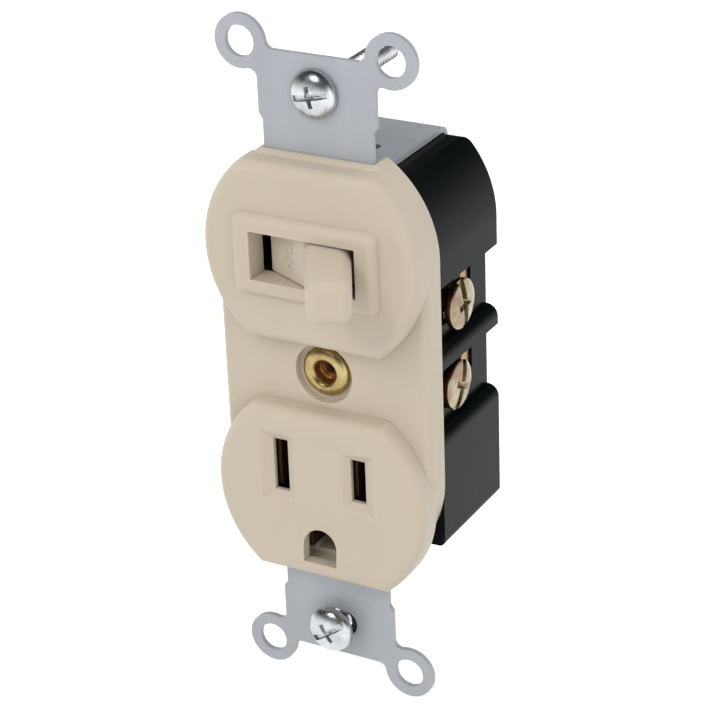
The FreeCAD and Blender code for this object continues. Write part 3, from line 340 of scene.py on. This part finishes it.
# The words on the toggle's two flanks, moulded with it and barely raised: each shows while the other
# is under the cover. They read down the device. A flank's root and edge are given across and behind
# the toggle's pivot, in mm, with the toggle straight.
TOGGLE_PIVOT = (0, 0.55 * MM, 18.65 * MM)
TOGGLE_REST = math.radians(30)
FLANK_ROOT, FLANK_EDGE = (3.3, -5.9), (7.8, 0.6)
WORD_PLACE = 0.46
toggle_turn = Matrix.Translation(TOGGLE_PIVOT) @ Matrix.Rotation(TOGGLE_REST, 4, "Z")
for word, hand in (("ON", -1), ("OFF", 1)):
    lettering = bpy.data.curves.new("lettering", "FONT")
    lettering.body = word
    lettering.size = 2.5 * MM
    lettering.space_character = 1.15
    lettering.align_x = "CENTER"
    lettering.align_y = "CENTER"
    lettering.extrude = 0.09 * MM
    lettering.offset = 0.04 * MM
    drawn = bpy.data.objects.new("lettering", lettering)
    scene.collection.objects.link(drawn)
    bpy.context.view_layer.update()
    solid_word = drawn.evaluated_get(bpy.context.evaluated_depsgraph_get())
    letters = bpy.data.meshes.new_from_object(solid_word)
    bpy.data.objects.remove(drawn)
    root, edge = (Vector((across * hand, behind, 0)) * MM for across, behind in (FLANK_ROOT, FLANK_EDGE))
    rise = (edge - root).normalized() * hand
    reading = Vector((0, 0, -1))
    facing = reading.cross(rise)
    upright = Matrix((reading, rise, facing)).transposed().to_4x4()
    letters.transform(toggle_turn @ (Matrix.Translation(root.lerp(edge, WORD_PLACE)) @ upright))
    letters.materials.clear()
    letters.materials.append(moulded_ivory)
    raised = bpy.data.objects.new("word_" + word.lower(), letters)
    scene.collection.objects.link(raised)
    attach(raised, "toggle")


# The centre rivet: turned brass, its front end rolled over into a fat ring and its back end flared,
# with a 6-32 thread cut down the whole bore for the wall plate's screw.
THREAD_PITCH = 25.4 / 32 * MM


def turned(outline, steps=64):
    """A round piece from its half section, a list of (radius, height) points, standing along +Z."""
    form = bmesh.new()
    points = [form.verts.new((radius, 0, height)) for radius, height in outline]
    edges = [form.edges.new(pair) for pair in zip(points, points[1:])]
    bmesh.ops.spin(form, geom=points + edges, cent=(0, 0, 0), axis=(0, 0, 1), angle=2 * math.pi,
                   steps=steps, use_merge=True)
    bmesh.ops.remove_doubles(form, verts=form.verts, dist=0.001 * MM)
    return form


def add_thread(form, root, crest, start, end, steps=24):
    """Wind a ridge round the Z axis from one height down to another, from root to crest radius."""
    turns = (start - end) / THREAD_PITCH - 1
    wide, narrow = 0.46 * THREAD_PITCH, 0.08 * THREAD_PITCH
    section = [(root, start), (crest, start - wide + narrow), (crest, start - wide - narrow),
               (root, start - 2 * wide)]
    corners = [form.verts.new((radius, 0, height)) for radius, height in section]
    face = form.faces.new(corners)
    bmesh.ops.spin(form, geom=[face, *face.edges, *corners], cent=(0, 0, 0), axis=(0, 0, 1),
                   angle=2 * math.pi * turns, steps=int(steps * turns),
                   dvec=(0, 0, -THREAD_PITCH / steps))


def arc(centre, wide, tall, first, last, count):
    """Points on an ellipse in the half section, its angles in degrees from the outward direction."""
    turns = [math.radians(first + (last - first) * index / count) for index in range(count + 1)]
    return [(centre[0] + wide * math.cos(turn), centre[1] + tall * math.sin(turn)) for turn in turns]


def finished(name, form, place, materials, node):
    """Turn a form into a piece at its place, which stands for the plain solid of the same part."""
    bmesh.ops.recalc_face_normals(form, faces=form.faces)
    for face in form.faces:
        face.smooth = True
    crease = math.radians(40)
    for edge in form.edges:
        edge.smooth = edge.calc_face_angle(0) < crease
    bmesh.ops.transform(form, matrix=place, verts=form.verts)
    mesh = bpy.data.meshes.new(name)
    form.to_mesh(mesh)
    form.free()
    for material in materials:
        mesh.materials.append(material)
    piece = bpy.data.objects.new(name, mesh)
    scene.collection.objects.link(piece)
    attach(piece, nodes[node]["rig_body"])
    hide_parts(node)


def refinish(form, chosen):
    """Give the second finish to the faces whose middles chosen accepts, by radius and height."""
    for face in form.faces:
        middle = face.calc_center_median()
        if chosen(math.hypot(middle.x, middle.y), middle.z):
            face.material_index = 1


OUTWARD = {"front": Matrix.Rotation(math.radians(90), 4, "X"),
           "right": Matrix.Rotation(math.radians(90), 4, "Y"),
           "left": Matrix.Rotation(math.radians(-90), 4, "Y")}

RIVET_BORE = 1.62 * MM
RIVET_RIM = 3.8 * MM
RIVET_WALL = 2.5 * MM
RIVET_END = -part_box("centre_rivet")[1].y
RING_FLOOR = 0.8 * MM
RING_TALL = 1.0 * MM
ring_top = (2.35 * MM, RING_FLOOR + 0.15 * MM)
front_ring = [*arc(ring_top, ring_top[0] - RIVET_BORE, RING_TALL, 180, 90, 8),
              *arc(ring_top, RIVET_RIM - ring_top[0], RING_TALL, 90, 0, 12)]
FLARE_HALF, FLARE_TALL = 0.84 * MM, 0.35 * MM
flare_middle = (2.46 * MM, RIVET_END + FLARE_TALL)
rivet_form = turned([*front_ring, (RIVET_RIM, RING_FLOOR), (RIVET_WALL, RING_FLOOR),
                     (RIVET_WALL, RIVET_END + 0.6 * MM),
                     *arc(flare_middle, FLARE_HALF, FLARE_TALL, 0, -180, 10), front_ring[0]])
add_thread(rivet_form, 1.66 * MM, 1.36 * MM, RING_FLOOR - 0.1 * MM, RIVET_END + 1.2 * MM)

# Its bore and thread get a darker, redder brown finish, up to where the ring starts to roll outwards.
BORE_EDGE = 1.75 * MM
BORE_MOUTH = RING_FLOOR + 0.4 * MM
refinish(rivet_form, lambda out, up: out < BORE_EDGE and up < BORE_MOUTH)
rivet_brass = finish("rivet_brass", (0.34, 0.24, 0.09), (0.52, 0.42, 0.19), 0.22, 0.36, 0.95,
                     {"Patch Scale": 420.0, "Grain Scale": 1500.0, "Depth": 0.000014})
rivet_bore = finish("rivet_bore", (0.22, 0.08, 0.02), (0.42, 0.18, 0.05), 0.35, 0.55, 0.7,
                    {"Patch Scale": 500.0, "Grain Scale": 1500.0, "Depth": 0.000014})
finished("rolled_rivet", rivet_form, OUTWARD["front"], [rivet_brass, rivet_bore], "centre_rivet")


# The mounting screws: 6-32, domed heads with a slot and a cross, cold headed and bright zinc plated.
# The lower one hangs loose in its fibre square, so its head stands off the strap.
def screw(head, tall, crown, shank, neck, length, slot_width, slot_length, cross_length, depth):
    """A screw standing on Z = 0 with its head up, its driver recess cut by a slot and a cross.

    head and shank are diameters, crown is the height of the head's dome, and the thread starts neck
    below the head. The faces in the recess get the second finish.
    """
    radius = head / 2
    top = tall - crown
    core = 0.38 * shank
    under_edge, fillet, point = 0.2 * MM, 0.3 * MM, 0.6 * MM
    body = turned([*arc((0, top), radius, crown, 90, 0, 10), (radius, 0.25 * top),
                   (radius - under_edge, 0), (1.2 * core, 0), (core, -fillet),
                   (core, -length + point), (0.6 * core, -length), (0, -length)])
    cutter = bmesh.new()
    cross_taper = 0.55
    for turn, long, deep, taper in ((0, slot_length, 0.75 * depth, 1.0),
                                    (0, cross_length, depth, cross_taper),
                                    (90, cross_length, depth, cross_taper)):
        block = bmesh.ops.create_cube(cutter, size=1)["verts"]
        bmesh.ops.scale(cutter, vec=(long, slot_width, 2 * deep), verts=block)
        floor_corners = [corner for corner in block if corner.co.z < 0]
        bmesh.ops.scale(cutter, vec=(taper, taper, 1), verts=floor_corners)
        bmesh.ops.rotate(cutter, cent=(0, 0, 0), matrix=Matrix.Rotation(math.radians(turn), 3, "Z"),
                         verts=block)
        bmesh.ops.translate(cutter, vec=(0, 0, tall), verts=block)

    # Empty slots keep the two finishes apart through the cut.
    things = []
    for form, slots in ((body, 1), (cutter, 2)):
        bmesh.ops.recalc_face_normals(form, faces=form.faces)
        mesh = bpy.data.meshes.new("blank")
        form.to_mesh(mesh)
        form.free()
        for polygon in mesh.polygons:
            polygon.material_index = slots - 1
        for _ in range(slots):
            mesh.materials.append(None)
        thing = bpy.data.objects.new("blank", mesh)
        scene.collection.objects.link(thing)
        things.append(thing)
    blank, tool = things
    carve = blank.modifiers.new("carve", "BOOLEAN")
    carve.operation = "DIFFERENCE"
    carve.solver = "EXACT"
    carve.use_self = True
    carve.object = tool
    ease = blank.modifiers.new("ease", "BEVEL")
    ease.width = 0.12 * MM
    ease.segments = 2
    ease.limit_method = "ANGLE"
    ease.angle_limit = math.radians(35)
    bpy.context.view_layer.update()
    carved = bpy.data.meshes.new_from_object(blank.evaluated_get(bpy.context.evaluated_depsgraph_get()))
    form = bmesh.new()
    form.from_mesh(carved)
    for thing in things:
        bpy.data.objects.remove(thing)
    bpy.data.meshes.remove(carved)
    add_thread(form, 0.95 * core, shank / 2, -neck, -length + 0.4 * MM)
    return form


bright_zinc = finish("bright_zinc", (0.46, 0.48, 0.5), (0.64, 0.66, 0.68), 0.2, 0.34, 1.0,
                     {"Patch Scale": 520.0, "Grain Scale": 900.0, "Depth": 0.000012})
for node, turn in (("mounting_screw_top", 12), ("mounting_screw_bottom", 34)):
    low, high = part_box(node)
    head_tall = 2.2 * MM
    form = screw(head=7.1 * MM, tall=head_tall, crown=1.7 * MM, shank=3.45 * MM,
                 neck=3.9 * MM, length=high.y - low.y - head_tall, slot_width=0.9 * MM,
                 slot_length=5.4 * MM, cross_length=4.2 * MM, depth=1.6 * MM)
    place = (Matrix.Translation((0, low.y + head_tall, (low.z + high.z) / 2)) @ OUTWARD["front"]
             @ Matrix.Rotation(math.radians(turn), 4, "Z"))
    finished("domed_" + node, form, place, [bright_zinc, bright_zinc], node)


# The terminal screws: 8-32 with broad flat heads, driven into the brass strip. The hot side's are
# brass, dipped in a yellow passivate that dries in pink and green shades and stays brown in the
# recess and under the rim. The neutral one is plated bright, and the ground one is coloured green.
HEAD_RIM, RIM_TALL = 3.6 * MM, 0.85 * MM
yellow_passivate = finish("yellow_passivate", (0.26, 0.14, 0.1), (0.42, 0.42, 0.28), 0.16, 0.3, 1.0,
                          {"Patch Scale": 380.0, "Grain Scale": 700.0, "Depth": 0.000008})
brown_passivate = finish("brown_passivate", (0.2, 0.075, 0.03), (0.42, 0.19, 0.09), 0.25, 0.4, 1.0,
                         {"Patch Scale": 500.0, "Grain Scale": 900.0, "Depth": 0.000008})
bright_plate = finish("bright_plate", (0.55, 0.55, 0.54), (0.72, 0.72, 0.7), 0.16, 0.28, 1.0,
                      {"Patch Scale": 420.0, "Grain Scale": 900.0, "Depth": 0.000008})
green_plate = finish("green_plate", (0.02, 0.13, 0.05), (0.05, 0.22, 0.09), 0.25, 0.4, 0.8,
                     {"Patch Scale": 420.0, "Grain Scale": 900.0, "Depth": 0.000008})
for node, side, turn, face_finish, recess_finish, slot in (
        ("line_screw_upper", "right", 8, yellow_passivate, brown_passivate, "brass_screw"),
        ("line_screw_lower", "right", -24, yellow_passivate, brown_passivate, "brass_screw"),
        ("switched_screw", "left", 35, yellow_passivate, brown_passivate, "brass_screw"),
        ("neutral_screw", "left", 70, bright_plate, bright_plate, "silver_screw"),
        ("ground_screw", "left", 15, green_plate, green_plate, "green_screw")):
    low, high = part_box(node)
    head_tall = 1.6 * MM
    form = screw(head=7.5 * MM, tall=head_tall, crown=0.65 * MM, shank=4.1 * MM,
                 neck=0.4 * MM, length=high.x - low.x - head_tall, slot_width=1.3 * MM,
                 slot_length=9 * MM, cross_length=4.6 * MM, depth=1.1 * MM)
    refinish(form, lambda out, up: out > HEAD_RIM and up < RIM_TALL)
    seat = high.x - head_tall if side == "right" else low.x + head_tall
    place = (Matrix.Translation((seat, (low.y + high.y) / 2, (low.z + high.z) / 2)) @ OUTWARD[side]
             @ Matrix.Rotation(math.radians(turn), 4, "Z"))
    finished("pan_" + node, form, place, [face_finish, recess_finish], node)
